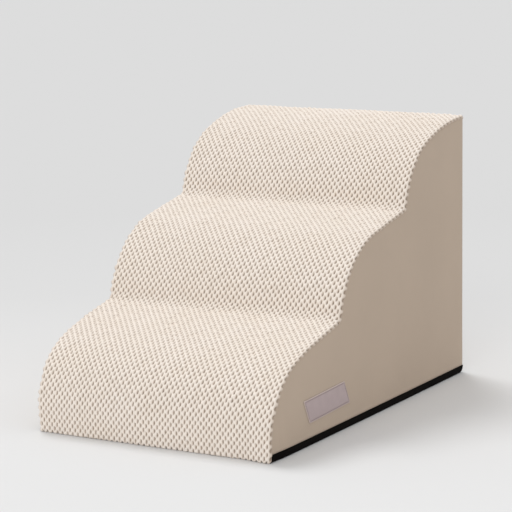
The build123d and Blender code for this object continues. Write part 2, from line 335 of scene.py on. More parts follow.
def make_knit():
    """The knit panel: one grid from under the front edge, over the steps, to the rear seam."""
    path = Path()
    curl = KNIT_CURL
    path.line((FRONT + curl + KNIT_TAIL, UNDERSIDE), (FRONT + curl, UNDERSIDE), (0, -1))
    path.arc((FRONT + curl, UNDERSIDE + curl), curl, -pi / 2, -pi)
    top = step_outline(path, 0.0, REAR - curl, UNDERSIDE + curl)
    path.arc((REAR - curl, top - curl), curl, pi / 2, 0)
    path.line((REAR, top - curl), (REAR - KNIT_TUCK, top - curl - KNIT_TAIL), (1, 0))
    points, normals, length = path.finished()

    flat_half = HALF_WIDTH - curl
    side_reach = flat_half + curl * pi / 2 + KNIT_TAIL
    half_columns = ceil(2 * side_reach / KNIT_COLUMN)
    u = (np.arange(-half_columns, half_columns)[:, None] + ACROSS_SHARES).ravel() / 2
    limit = side_reach / KNIT_COLUMN
    u = np.r_[-limit, u[np.abs(u) < limit - 0.02], limit]
    along = np.linspace(0, length[-1], int(length[-1] / KNIT_ROW * SAMPLES_ALONG))
    u, t = np.meshgrid(u, along)
    w = u * KNIT_COLUMN + lattice_drift(u, t)

    # The outline at the side seams, and the softer one inside them
    outline = np.column_stack([points, normals])
    inner = smooth_step(*SHARP_ENDS, length) * smooth_step(*SHARP_ENDS, length[-1] - length)
    lines = []
    for reach in (SEAM_SOFTNESS, NOTCH_SOFTNESS):
        soft = np.column_stack([softened(v, length, reach) for v in outline.T])
        lines.append(outline + (soft - outline) * inner[:, None])
    seam, bridged = lines
    filled = smooth_step(0, 1.5, ((bridged - seam)[:, :2] * normals).sum(1))
    bridge = smooth_step(0, NOTCH_BRIDGE, HALF_WIDTH - np.abs(w)) * np.interp(t, length, filled)
    y, z, ny, nz = (
        np.interp(t, length, low) + bridge * np.interp(t, length, high - low)
        for low, high in zip(seam.T, bridged.T)
    )
    size = np.hypot(ny, nz)
    ny, nz = ny / size, nz / size

    # How far the cloth has turned down at the side edges
    past = np.abs(w) - flat_half
    turn = np.clip(past / curl, 0, pi / 2)
    hang = np.clip(past - curl * pi / 2, 0, None)
    tuck = KNIT_TUCK * smooth_step(-0.2 * KNIT_TAIL, 0.4 * KNIT_TAIL, past - curl * pi / 2)
    tuck += FLAP_DRAW * (1 - smooth_step(KNIT_TAIL, 2.5 * KNIT_TAIL, t)) * smooth_step(-5 * curl, 0, past)
    x = np.sign(w) * (np.minimum(np.abs(w), flat_half) + curl * np.sin(turn) - tuck)
    deep = curl * (1 - np.cos(turn)) + hang + edge_fall(x)

    height, slot = kernel_field(u, (t - KNIT_SKEW * w + 0.5 * np.sin(w / 53 + t / 140)) / KNIT_ROW)
    relief = smooth_step(0, KNIT_TAIL, t) * smooth_step(0, KNIT_TAIL, length[-1] - t)
    relief *= 1 - smooth_step(0.5, KNIT_TAIL, hang)
    lift = (KNIT_RELIEF * (height - 1) + KNIT_PROUD + slow_swell(w, t)) * relief

    out = lift * np.cos(turn) - deep
    grid = np.stack([x + lift * np.sin(turn) * np.sign(w), y + ny * out, z + nz * out], -1)
    grid = settled(grid)
    grid[..., 2] = np.maximum(grid[..., 2], FLOOR_CLEARANCE)
    obj = grid_mesh("knit_tread", grid, flip=True)
    # Painted shade: the material darkens the knit's colour in its slots by this value
    point_value(obj, "slot", slot * relief)
    # Painted shade: the material darkens the knit in the valleys between kernels by this value
    point_value(obj, "painted_valley_shade", smooth_step(0.15, 0.6, 1 - height) * relief)
    # Painted shade: the material darkens the edge turned down at the sides by this value
    point_value(obj, "seam", smooth_step(-0.2 * curl, 1.2 * curl, past))
    return obj, (2 * side_reach, length[-1])


# Flat panels of the cover


def fill_outline(loops, spacing, rings=()):
    """Triangles that fill an outer loop around any inner loops: rings of points, then even ones."""
    points = []
    edges = []
    for loop in loops:
        start = len(points)
        points += [tuple(p) for p in loop]
        count = len(loop)
        edges += [(start + k, start + (k + 1) % count) for k in range(count)]
    outline = np.array(points)
    for distance in rings:
        for loop in loops:
            beside = beside_loop(loop, distance)
            away = edge_distance(beside, loops)
            points += [tuple(p) for p in beside[inside_loops(beside, loops) & (away > 0.95 * distance)]]
    low, high = outline.min(0), outline.max(0)
    inner = []
    for number, v in enumerate(np.arange(low[1] + spacing / 2, high[1], spacing * 0.866)):
        us = np.arange(low[0] + spacing / 2 * (1 + number % 2), high[0], spacing)
        inner.append(np.stack([us, np.full(len(us), v)], -1))
    inner = np.concatenate(inner)
    clear = max(rings, default=0) + 0.45 * spacing
    keep = inside_loops(inner, loops) & (edge_distance(inner, loops) > clear)
    points += [tuple(p) for p in inner[keep]]
    verts, _, faces, _, _, _ = delaunay_2d_cdt([Vector(p) for p in points], edges, [], 0, 1e-6)
    flat = np.array([list(v) for v in verts])
    middles = np.array([flat[list(f)].mean(0) for f in faces])
    wanted = inside_loops(middles, loops)
    return flat, [list(f) for f, w in zip(faces, wanted) if w]


def beside_loop(loop, distance):
    """Points this far from a closed loop's corners, on both sides of it."""
    loop = np.asarray(loop, float)
    run = np.roll(loop, -1, axis=0) - np.roll(loop, 1, axis=0)
    away = np.column_stack([-run[:, 1], run[:, 0]]) / np.hypot(*run.T)[:, None]
    return np.concatenate([loop + distance * away, loop - distance * away])


def inside_loops(points, loops):
    """Whether each point lies inside an odd number of loops."""
    inside = np.zeros(len(points), bool)
    for loop in loops:
        for (ax, ay), (bx, by) in zip(loop, np.roll(loop, -1, axis=0)):
            if ay == by:
                continue
            crosses = (ay > points[:, 1]) != (by > points[:, 1])
            where = (bx - ax) * (points[:, 1] - ay) / (by - ay) + ax
            inside ^= crosses & (points[:, 0] < where)
    return inside


def edge_distance(points, loops):
    """Each point's distance from the nearest edge of the loops."""
    best = np.full(len(points), 1e9)
    for loop in loops:
        for p, q in zip(loop, np.roll(loop, -1, axis=0)):
            d = q - p
            size = max(d @ d, 1e-12)
            share = np.clip(((points - p) @ d) / size, 0, 1)
            best = np.minimum(best, np.hypot(*(points - p - share[:, None] * d).T))
    return best


def resampled(loop, spacing):
    """A closed loop with points about this far apart, its corners kept."""
    loop = np.asarray(loop, float)
    out = []
    for a, b in zip(loop, np.roll(loop, -1, axis=0)):
        count = max(1, int(round(dist(a, b) / spacing)))
        out += [a + (b - a) * k / count for k in range(count)]
    return np.array(out)


def side_outline():
    """The side panel's outline in Y and Z, a little inside the steps' own."""
    low = BAND_TOP - BAND_OVERLAP
    rear = REAR - PANEL_END_INSET
    front = FRONT + PANEL_INSET
    path = Path(SEAM_SPACING)
    top = step_outline(path, PANEL_INSET, rear, low)
    steps = [p for k, p in enumerate(path.points) if k == 0 or dist(p, path.points[k - 1]) > 0.5]
    down = [[rear, z] for z in np.linspace(top, low, int((top - low) / SEAM_SPACING))]
    along = [[y, low] for y in np.linspace(rear, front, int((rear - front) / SEAM_SPACING))[1:-1]]
    return np.array(steps + down + along)


def cloth_relief(flat, loops):
    """How far a stretched panel stands out, crowned inside and tucked at its seams, and their shade."""
    away = edge_distance(flat, loops)
    out = CLOTH_CROWN * (1 - np.exp(-away / 30)) - CLOTH_TUCK * np.exp(-((away / TUCK_REACH) ** 1.6))
    u, v = flat.T
    waves = np.sin((u + v) / 4.1 + 1.3 * np.sin(u / 23)) * np.sin((u - v) / 5.7 + 1.1 * np.sin(v / 31))
    out += 0.09 * waves * np.exp(-away / 12) * (1 - np.exp(-away / 3))
    out += 0.3 * CLOTH_CROWN * np.sin(u / 83 + 0.7) * np.sin(v / 97 + 0.3) * (1 - np.exp(-away / 40))
    return out, np.exp(-((away / SEAM_SHADE) ** 2))


def panel_area(loop):
    a = np.asarray(loop)
    b = np.roll(a, -1, axis=0)
    return abs(np.sum(a[:, 0] * b[:, 1] - b[:, 0] * a[:, 1])) / 2


def make_side(side, word):
    """One side panel: smooth cloth, stretched over the foam between its seams."""
    loop = side_outline()
    flat, faces = fill_outline([loop], PANEL_SPACING, SEAM_RINGS)
    out, shade = cloth_relief(flat, [loop])
    points = settled(np.column_stack([side * (PANEL_FACE + out), flat]))
    if side < 0:
        faces = [f[::-1] for f in faces]
    obj = new_mesh(f"side_cloth_{word}", points, faces)
    # Painted shade: the material darkens the cloth along its seams by this value
    point_value(obj, "seam", shade)
    return obj, panel_area(loop), np.ptp(loop, axis=0)


def rounded_rectangle(half_u, half_v, radius, centre=(0, 0), steps=5):
    points = []
    for number, (su, sv) in enumerate(((1, 1), (-1, 1), (-1, -1), (1, -1))):
        for k in range(steps + 1):
            angle = pi / 2 * (number + k / steps)
            u = centre[0] + su * (half_u - radius) + radius * cos(angle)
            v = centre[1] + sv * (half_v - radius) + radius * sin(angle)
            points.append([u, v])
    return np.array(points)


# The zip's opening, tapes and coil, from the frame
tape_low, tape_high = node_box("zip_tape_upper")
coil_low, coil_high = node_box("zip_coil_upper")
TAPE_SEAM = 4.0
TAPE_FACE = tape_high[1]
ZIP_Z = (node_box("zip_tape_lower")[0][2] + tape_high[2]) / 2
WINDOW_HALF = tape_high[0] - TAPE_SEAM
WINDOW_HALF_WIDTH = tape_high[2] - ZIP_Z - TAPE_SEAM
WINDOW_CORNER = 2.0
REAR_TOP_GAP = 0.6


def make_rear():
    """The rear panel, with its edges turned in round the zip's opening."""
    half = PANEL_FACE - PANEL_END_INSET
    low = BAND_TOP - BAND_OVERLAP
    across = np.linspace(half, -half, 128)
    top = np.column_stack([across, TOP - KNIT_CURL - REAR_TOP_GAP - edge_fall(across)])
    outer = resampled([[-half, low], [half, low], *top], SEAM_SPACING)
    window = rounded_rectangle(WINDOW_HALF, WINDOW_HALF_WIDTH, WINDOW_CORNER, (0, ZIP_Z), 4)
    window = resampled(window, SEAM_SPACING)
    flat, faces = fill_outline([outer, window], PANEL_SPACING, SEAM_RINGS)
    out, shade = cloth_relief(flat, [outer])
    hole = edge_distance(flat, [window])
    turned = np.exp(-((hole / 0.9) ** 1.6))
    out = out * (1 - np.exp(-hole / 12)) - turned + 0.35 * np.exp(-(((hole - 1.5) / 1.1) ** 2))
    points = np.column_stack([flat[:, 0], REAR + out, flat[:, 1]])
    obj = new_mesh("rear_cloth", points, [f[::-1] for f in faces])
    # Painted shade: darker along the seams and round the zip's turned-in opening
    point_value(obj, "seam", np.maximum(shade, 0.7 * np.exp(-(hole**2))))
    return obj, panel_area(outer) - panel_area(window), np.ptp(outer, axis=0)


# Base and its printed dots

BASE_SIDE_RADIUS = 1.4
BASE_REAR_RADIUS = 9.0
BASE_FRONT_INSET = 3.2
BASE_ROWS = 150
WALL_ROWS = 8
KNIT_THICKNESS = 3.0
DOT_PITCH = 28.0
DOT_MARGIN = 20.0
DOT_SIDES = 20
DOT_RINGS = ((4.0, UNDERSIDE + 0.05), (4.0, 0.25), (3.7, 0.08), (3.0, 0.0))


def make_base():
    """The black base: its underside, and its edges turned up at the sides and the rear."""
    turn = np.linspace(0, pi / 2, 15)[1:]
    flat_end = REAR - BASE_REAR_RADIUS
    flat_rows = np.linspace(FRONT + BASE_FRONT_INSET, flat_end, BASE_ROWS)
    ys = np.r_[flat_rows, flat_end + BASE_REAR_RADIUS * np.sin(turn), REAR]
    rising = UNDERSIDE + BASE_REAR_RADIUS * (1 - np.cos(turn))
    lows = np.r_[np.full(BASE_ROWS, UNDERSIDE), rising, BAND_TOP - 0.3]
    arc = np.linspace(0, pi / 2, 7)
    rows = []
    for y, low in zip(ys, lows):
        radius = min(BASE_SIDE_RADIUS, max(0.05, BAND_TOP - 0.2 - low))
        wall = np.linspace(BAND_TOP, low + radius, WALL_ROWS)[:-1]
        share = np.linspace(0, 1, WALL_ROWS)[:-1]
        swell = 0.45 * np.sin(np.pi * share) - 0.7 * (1 - smooth_step(0, 0.2, share))
        swell *= np.clip((BAND_TOP - low) / BAND_TOP, 0, 1)
        xs = np.r_[PANEL_FACE + swell, PANEL_FACE - radius + radius * np.cos(arc)]
        zs = np.r_[wall, low + radius - radius * np.sin(arc)]
        across = np.linspace(1, -1, 61)[1:-1] * (PANEL_FACE - radius)
        x = np.r_[xs, across, -xs[::-1]]
        z = np.r_[zs, np.full(len(across), low), zs[::-1]]
        rows.append(np.stack([x, np.full(len(x), y), z], -1))
    obj = grid_mesh("base_cloth", settled(np.array(rows)), flip=True)
    return obj, (2 * (PANEL_FACE + BAND_TOP), REAR - FRONT + BAND_TOP)


def tube_faces(start, rings, sides, flip=False):
    """The faces between a tube's rings of points."""
    faces = []
    for ring in range(rings - 1):
        for k in range(sides):
            a = start + ring * sides + k
            b = start + ring * sides + (k + 1) % sides
            faces.append([a, a + sides, b + sides, b] if flip else [a, b, b + sides, a + sides])
    return faces


def make_base_dots():
    """Rows of low round dots below the base, where the solids have them."""
    flat_half = PANEL_FACE - BASE_SIDE_RADIUS - DOT_MARGIN
    flat_front = FRONT + KNIT_THICKNESS + DOT_MARGIN
    flat_rear = REAR - BASE_REAR_RADIUS - DOT_MARGIN
    across = 2 * int(flat_half / DOT_PITCH) + 1
    along = int((flat_rear - flat_front) / DOT_PITCH) + 1
    middle = (flat_front + flat_rear) / 2
    points, faces = [], []
    for row in range(along):
        for column in range(across):
            cx = (column - (across - 1) / 2) * DOT_PITCH
            cy = middle + (row - (along - 1) / 2) * DOT_PITCH
            start = len(points)
            for r, z in DOT_RINGS:
                for k in range(DOT_SIDES):
                    angle = 2 * pi * k / DOT_SIDES
                    points.append([cx + r * cos(angle), cy + r * sin(angle), z])
            faces += tube_faces(start, len(DOT_RINGS), DOT_SIDES, flip=True)
            last = start + (len(DOT_RINGS) - 1) * DOT_SIDES
            faces.append([last + k for k in range(DOT_SIDES)][::-1])
    return new_mesh("base_dots", points, faces)


# Label, care label and stitches

LABEL_HALF = (59.0, 17.5)
LABEL_CORNER = 1.4
LABEL_SPACING = 2.4
LABEL_RINGS = (0.4, 0.9, 1.6, 2.2, 2.8, 3.6)
LABEL_LEAN_SHARE = 15.5 / 35.0
LABEL_FROM_FRONT = 150.5
LABEL_HEIGHT = 51.0
LABEL_TILT = radians(1.9)
LABEL_BASE = 0.9
STITCH_INSET = 2.6
STITCH_PITCH = 3.8
STITCH_LIFT = 0.45


def on_label(flat, out):
    """Places on the right side panel for places on the label, whose short edges lean."""
    u, v = np.asarray(flat, float).T
    u = u - LABEL_LEAN_SHARE * v
    y = FRONT + LABEL_FROM_FRONT + u * cos(LABEL_TILT) - v * sin(LABEL_TILT)
    z = LABEL_HEIGHT + u * sin(LABEL_TILT) + v * cos(LABEL_TILT)
    return settled(np.column_stack([PANEL_FACE + LABEL_BASE + np.broadcast_to(out, y.shape), y, z]))


def make_label():
    """The bare label patch: a small cloth with a pressed border, sewn flat on the side."""
    loop = resampled(rounded_rectangle(*LABEL_HALF, LABEL_CORNER), LABEL_CORNER)
    flat, faces = fill_outline([loop], LABEL_SPACING, LABEL_RINGS)
    away = edge_distance(flat, [loop])
    out = 0.85 * (1 - np.exp(-((away / 0.5) ** 1.5)))
    out -= 0.45 * np.exp(-(((away - STITCH_INSET) / 0.7) ** 2))
    out += 0.25 * smooth_step(3, 12, away)
    out += 0.08 * np.sin(flat[:, 0] / 9.0 + 0.6) * np.sin(flat[:, 1] / 6.0) * smooth_step(2, 8, away)
    obj = new_mesh("label_cloth", on_label(flat, out), faces)
    # Painted shade in the groove along the stitching
    point_value(obj, "painted_groove_shade", np.exp(-(((away - STITCH_INSET) / 0.8) ** 2)))
    point_value(obj, "hem", 1 - smooth_step(0.8, 1.8, away))
    return obj


def stitches(name, rows, length):
    """Rounded stitches, each at a place with its run and outward directions, as one mesh."""
    points, faces = [], []
    stations = np.linspace(-1, 1, 7)
    width = 0.6
    height = 0.3
    sides = 8
    for centre, run, outward in rows:
        centre, run, outward = (np.asarray(v, float) for v in (centre, run, outward))
        side = np.cross(outward, run)
        start = len(points)
        for share in stations:
            thick = sqrt(max(0.02, 1 - (0.93 * share) ** 4))
            lift = height * (1 - share**2) - height * 0.5
            middle = centre + run * share * length / 2 + outward * lift
            for k in range(sides):
                angle = 2 * pi * k / sides
                around = side * cos(angle) * width / 2 + outward * sin(angle) * width * 0.42
                points.append(middle + around * thick)
        faces += tube_faces(start, len(stations), sides)
        faces.append([start + k for k in range(sides)][::-1])
        faces.append([start + (len(stations) - 1) * sides + k for k in range(sides)])
    return new_mesh(name, points, faces)


def stitch_places(half_u, half_v, pitch):
    """Places along the four edges of a rectangle, each with whether it runs upright."""
    places = []
    for reach, offset, turned in ((half_u, half_v, False), (half_v, half_u, True)):
        count = int((2 * reach - pitch) / pitch)
        for index in range(count):
            place = (index - (count - 1) / 2) * pitch
            for side in (-1, 1):
                places.append(((side * offset, place) if turned else (place, side * offset), turned))
    return places


def make_label_stitches():
    """A row of stitches round the label, a little inside its edge."""
    half_u, half_v = (half - STITCH_INSET for half in LABEL_HALF)
    rows = []
    for flat, turned in stitch_places(half_u, half_v, STITCH_PITCH):
        ahead = (flat[0], flat[1] + 1) if turned else (flat[0] + 1, flat[1])
        here, there = on_label([flat, ahead], STITCH_LIFT)
        run = (there - here) * (0, 1, 1)
        rows.append((here, run / np.linalg.norm(run), (1, 0, 0)))
    return stitches("label_stitches", rows, 2.9)


CARE_LENGTH = 42.0
CARE_WIDTH = 26.0


def make_care_label():
    """A blank satin tab, caught in the rear left seam."""
    care_low, care_high = node_box("care_label")
    u, v = np.meshgrid(np.linspace(0, 1, 29), np.linspace(-0.5, 0.5, 15))
    out = 0.35 + 1.5 * u**2.4 + 0.25 * np.sin(3.0 * v + 0.5) * u + 0.2 * np.sin(9 * u) * v
    x = -PANEL_FACE + 0.8 + CARE_LENGTH * u
    z = (care_low[2] + care_high[2]) / 2 + CARE_WIDTH * v
    return grid_mesh("care_label_tab", np.stack([x, REAR + 0.2 + out, z], -1), flip=True)


# Zip

TAPE_GAPE = 0.8
GAPE_REACH = 2.3


def make_tape(side, word):
    """One zip tape, its inner edge opening out before the slider's post."""
    x, share = np.meshgrid(np.linspace(tape_low[0], tape_high[0], 353), np.linspace(0, 1, 15))
    inner = tape_low[2] - ZIP_Z
    gape = TAPE_GAPE * smooth_step(coil_high[0] - GAPE_REACH, coil_high[0], x)
    outer = tape_high[2] - ZIP_Z
    z = ZIP_Z + side * (inner + gape + (outer - inner - gape) * share)
    y = TAPE_FACE - 0.05 + 0.04 * np.sin(x / 2.1) * np.sin(share * 9)
    return grid_mesh(f"zip_cloth_{word}", np.stack([x, y, z], -1), flip=side > 0)


def make_coil(side, word):
    """One coil half: a flattened spiral filament whose turns reach past the middle."""
    pitch = 1.27
    wire = 0.31
    per_turn = 12
    sides = 6
    start, end = coil_low[0] + wire, coil_high[0] - wire
    turns = int((end - start) / pitch)
    offset = (end - start - turns * pitch) / 2 + (pitch / 2 if side < 0 else 0)
    angles = np.arange(turns * per_turn + 1) / per_turn * 2 * pi
    x = np.clip(start + offset + angles / (2 * pi) * pitch - pitch / 4, start, end)
    reach = coil_low[2] - ZIP_Z + wire
    back = coil_high[2] - ZIP_Z - wire
    flat = np.cos(angles)
    z = ZIP_Z + side * ((reach + back) / 2 - (back - reach) / 2 * np.sign(flat) * np.abs(flat) ** 0.7)
    thick = coil_high[1] - TAPE_FACE
    y = TAPE_FACE + thick / 2 + (thick / 2 - wire) * np.sin(angles)
    centre = np.stack([x, y, z], -1)
    tangent = np.gradient(centre, axis=0)
    tangent /= np.linalg.norm(tangent, axis=1)[:, None]
    first = np.cross(tangent, [1.0, 0, 0])
    first /= np.linalg.norm(first, axis=1)[:, None]
    second = np.cross(tangent, first)
    ring = np.append(np.arange(sides) / sides * 2 * pi, 0)[None, :, None]
    tube = centre[:, None] + wire * (np.cos(ring) * first[:, None] + np.sin(ring) * second[:, None])
    return cleaned(grid_mesh(f"zip_spiral_{word}", tube))


def make_top_stop(side, word):
    """One top stop: a rounded metal clip, crimped round its tape's inner edge."""
    stop_low, stop_high = node_box("zip_top_stops")
    near = 0.5
    crimp = 0.16
    rounding = 0.5
    sides = 24
    middle = (stop_low + stop_high) / 2
    half = (stop_high - stop_low) / 2
    far = stop_high[2] - ZIP_Z
    along = np.sin(np.linspace(-1, 1, 17) * pi / 2)[:, None]
    around = np.append(np.arange(sides) / sides * 2 * pi, 0)[None, :]
    across, outward = (np.sign(v) * np.abs(v) ** rounding for v in (np.sin(around), np.cos(around)))
    thick = (1 - along**6) ** rounding
    pinch = 1 - crimp * np.exp(-((along / 0.4) ** 2))
    x = middle[0] + half[0] * along + 0 * around
    y = middle[1] + half[1] * thick * pinch * outward
    z = ZIP_Z + side * ((far + near) / 2 + (far - near) / 2 * thick * across)
    return cleaned(grid_mesh(f"zip_stop_{word}", np.stack([x, y, z], -1)))


def cleaned(obj):
    """Joins a mesh's doubled points and turns its faces outwards."""
    bm = bmesh.new()
    bm.from_mesh(obj.data)
    bmesh.ops.remove_doubles(bm, verts=bm.verts, dist=1e-6)
    bmesh.ops.recalc_face_normals(bm, faces=bm.faces)
    bm.to_mesh(obj.data)
    bm.free()
    return obj


def make_zip_thread():
    """A row of stitches round the opening, which holds the panel to the tapes."""
    margin = 2.6
    pitch = 3.4
    proud = 0.25
    rows = []
    for (u, v), turned in stitch_places(WINDOW_HALF + margin, WINDOW_HALF_WIDTH + margin, pitch):
        rows.append(((u, REAR + proud, ZIP_Z + v), (0, 0, 1) if turned else (1, 0, 0), (0, 1, 0)))
    return stitches("zip_thread", rows, 2.5)


# Foam inside the cover: where the layers part and where they end

FOAM_SPLIT = 23.4
FOAM_GAP = 0.3
FOAM_TOP_INSET = 3.9
FOAM_REAR = REAR - 3.2
FOAM_HALF_WIDTH = PANEL_FACE - 2.4
FOAM_LOW = 3.0
FOAM_LINE_SPACING = 6.0
FOAM_SPACING = 24.0


def make_foam(name, outer_inset, inner_inset=None):
    """A foam block with the steps' outline, down to the floor or to a lower layer."""
    path = Path(FOAM_LINE_SPACING)
    top = step_outline(path, outer_inset, FOAM_REAR, FOAM_LOW)
    loop = path.points + [[FOAM_REAR, top]]
    if inner_inset is None:
        loop += [[FOAM_REAR, FOAM_LOW]]
    else:
        under = Path(FOAM_LINE_SPACING)
        under_top = step_outline(under, inner_inset, FOAM_REAR, FOAM_LOW)
        loop += [[FOAM_REAR, under_top]] + under.points[::-1]
    loop = np.array([p for k, p in enumerate(loop) if dist(p, loop[k - 1]) > 0.3])
    flat, faces = fill_outline([loop], FOAM_SPACING)
    half = np.full(len(flat), FOAM_HALF_WIDTH)
    points = settled(np.concatenate([np.column_stack([x, flat]) for x in (half, -half)]), 0)
    count = len(flat)
    rim = [int(np.hypot(*(flat - p).T).argmin()) for p in loop]
    backs = [[k + count for k in f[::-1]] for f in faces]
    walls = [[a, a + count, b + count, b] for a, b in zip(rim, rim[1:] + rim[:1])]
    return cleaned(new_mesh(name, points, faces + backs + walls, smooth=False))


# Materials


class Nodes:
    """Short calls that build a material's node tree."""

    def __init__(self, name):
        self.material = bpy.data.materials.new(name)
        self.material.use_nodes = True
        self.tree = self.material.node_tree

    def fill(self, node, inputs):
        """Sets a node's inputs to numbers or colours, or links them."""
        for name, item in inputs.items():
            socket = node.inputs[name]
            if isinstance(item, (int, float)):
                socket.default_value = item
            elif isinstance(item, tuple):
                socket.default_value = (*item, 1)
            elif item:
                self.tree.links.new(item, socket)
        return node

    def add(self, kind, inputs, **settings):
        node = self.tree.nodes.new(kind)
        for name, value in settings.items():
            setattr(node, name, value)
        return self.fill(node, inputs)

    def place(self):
        return self.add("ShaderNodeTexCoord", {}).outputs["Object"]

    def noise(self, scale, detail=2.0, roughness=0.5):
        inputs = {"Scale": scale, "Detail": detail, "Roughness": roughness, "Vector": self.place()}
        return self.add("ShaderNodeTexNoise", inputs).outputs["Fac"]

    def wave(self, scale, direction, distortion=0.0, detail_scale=1.0):
        inputs = {"Scale": scale, "Distortion": distortion, "Detail Scale": detail_scale}
        inputs["Vector"] = self.place()
        return self.add("ShaderNodeTexWave", inputs, bands_direction=direction).outputs["Fac"]

    def value(self, name):
        return self.add("ShaderNodeAttribute", {}, attribute_name=name).outputs["Fac"]

    def weave(self, *bands):
        """The mean of bands, each given by the arguments of its wave."""
        total = self.wave(*bands[0])
        for band in bands[1:]:
            total = self.math("ADD", total, self.wave(*band))
        return self.math("MULTIPLY", total, round(1 / len(bands), 3))

    def toned(self, name, share, colour, tone):
        """A colour, mixed towards a tone by this share where the mesh's named value is 1."""
        return self.mix(self.math("MULTIPLY", self.value(name), share, clamp=True), colour, tone)

    def math(self, operation, first, second, clamp=False):
        node = self.add("ShaderNodeMath", {0: first, 1: second}, operation=operation, use_clamp=clamp)
        return node.outputs["Value"]

    def ramp(self, source, stops):
        node = self.add("ShaderNodeValToRGB", {"Fac": source})
        elements = node.color_ramp.elements
        while len(elements) < len(stops):
            elements.new(0.5)
        for element, (place, colour) in zip(elements, stops):
            element.position = place
            element.color = (*colour, 1)
        return node.outputs["Color"]

    def mix(self, factor, first, second):
        node = self.add("ShaderNodeMix", {"Factor": factor}, data_type="RGBA")
        colours = [index for index, socket in enumerate(node.inputs) if socket.type == "RGBA"]
        self.fill(node, dict(zip(colours, (first, second))))
        return [socket for socket in node.outputs if socket.type == "RGBA"][0]

    def remap(self, source, low, high):
        inputs = {"Value": source, "To Min": low, "To Max": high}
        return self.add("ShaderNodeMapRange", inputs).outputs["Result"]

    def bump(self, height, strength, distance, normal=None):
        inputs = {"Height": height, "Strength": strength, "Distance": distance, "Normal": normal}
        return self.add("ShaderNodeBump", inputs).outputs["Normal"]

    def finish(self, colour, roughness, normal=None, metallic=0.0, sheen=0.0, specular=0.5):
        inputs = {
            "Base Color": colour,
            "Roughness": roughness,
            "Metallic": metallic,
            "Sheen Weight": sheen,
            "Sheen Roughness": 0.4,
            "Specular IOR Level": specular,
            "Normal": normal,
        }
        self.fill(self.tree.nodes["Principled BSDF"], inputs)
        return self.material


def srgb(*levels):
    """Linear colour from 8-bit screen values."""
    shares = [level / 255 for level in levels]
    return tuple(c / 12.92 if c <= 0.04045 else ((c + 0.055) / 1.055) ** 2.4 for c in shares)


def shaded(colour, factor):
    return tuple(min(1.0, c * factor) for c in colour)


def knit_material():
    n = Nodes("knit")
    fine = n.noise(420, 3, 0.65)
    yarn = n.noise(1500, 2, 0.6)
    body = n.ramp(n.noise(14, 3, 0.6), [(0.3, srgb(247, 237, 226)), (0.7, srgb(250, 241, 232))])
    fuzz = n.mix(n.remap(fine, 0.0, 0.3), body, srgb(228, 214, 200))
    # Painted shade in the valleys between kernels
    fuzz = n.toned("painted_valley_shade", 0.3, fuzz, srgb(206, 188, 170))
    # Painted shade on the edge turned down at the side seams
    fuzz = n.toned("seam", 0.6, fuzz, srgb(178, 158, 139))
    # Painted shade: the slots are darkened towards a deep brown
    colour = n.mix(n.value("slot"), fuzz, srgb(136, 112, 90))
    normal = n.bump(fine, 0.5, 0.0012, n.bump(yarn, 0.35, 0.0006))
    return n.finish(colour, n.remap(fine, 0.86, 0.98), normal, sheen=0.15, specular=0.2)


def side_material():
    """Smooth short-pile cloth, nearly even in colour."""
    base = srgb(191, 173, 155)
    n = Nodes("side_cloth")
    fine = n.noise(2600, 2, 0.6)
    weave = n.weave(*((330, direction, 1.2, 40) for direction in "XYZ"))
    tone = n.ramp(n.noise(9, 3, 0.6), [(0.3, shaded(base, 0.975)), (0.7, shaded(base, 1.025))])
    tone = n.mix(n.remap(n.noise(60, 3, 0.6), 0.0, 0.15), tone, shaded(base, 0.95))
    tone = n.mix(n.remap(weave, 0.0, 0.2), tone, shaded(base, 0.82))
    # Painted shade along the seams and round the zip's opening
    colour = n.toned("seam", 0.5, tone, shaded(base, 0.55))
    normal = n.bump(fine, 0.25, 0.0002, n.bump(weave, 0.5, 0.00012))
    return n.finish(colour, n.remap(fine, 0.8, 0.94), normal, sheen=0.12, specular=0.25)


def base_material():
    n = Nodes("base_black")
    weave = n.weave(*((260, direction, 0.6, 30) for direction in "XYZ"))
    tone = n.ramp(n.noise(25, 3, 0.6), [(0.3, srgb(11, 8, 6)), (0.7, srgb(17, 13, 10))])
    colour = n.mix(n.remap(weave, 0.0, 0.4), tone, srgb(6, 4, 3))
    rough = n.remap(n.noise(1200, 2, 0.6), 0.8, 0.95)
    return n.finish(colour, rough, n.bump(weave, 0.6, 0.0002), specular=0.06)


def dots_material():
    n = Nodes("dots_black")
    fine = n.noise(900, 2, 0.5)
    colour = n.ramp(fine, [(0.3, srgb(24, 23, 22)), (0.7, srgb(38, 36, 35))])
    return n.finish(colour, n.remap(fine, 0.4, 0.55), n.bump(fine, 0.3, 0.0002), specular=0.5)


def label_material():
    n = Nodes("label_cloth")
    weave = n.weave((560, "Z", 0.8, 60), (420, "Y", 0.8, 60))
    cloud = n.noise(80, 3, 0.6)
    tone = n.ramp(cloud, [(0.3, srgb(183, 166, 166)), (0.7, srgb(190, 173, 173))])
    tone = n.mix(n.remap(weave, 0.0, 0.25), tone, srgb(162, 145, 145))
    tone = n.toned("hem", 0.7, tone, srgb(206, 189, 178))
    # Painted shade in the groove along the stitching
    colour = n.toned("painted_groove_shade", 0.45, tone, srgb(140, 121, 119))
    return n.finish(colour, n.remap(cloud, 0.6, 0.75), n.bump(weave, 0.5, 0.00015), sheen=0.1, specular=0.3)


def thread_material(name, dark, light):
    n = Nodes(name)
    twist = n.wave(1500, "DIAGONAL", 0.5)
    colour = n.ramp(twist, [(0.2, dark), (0.8, light)])
    return n.finish(colour, n.remap(twist, 0.5, 0.7), n.bump(twist, 0.5, 0.0001), sheen=0.1, specular=0.4)


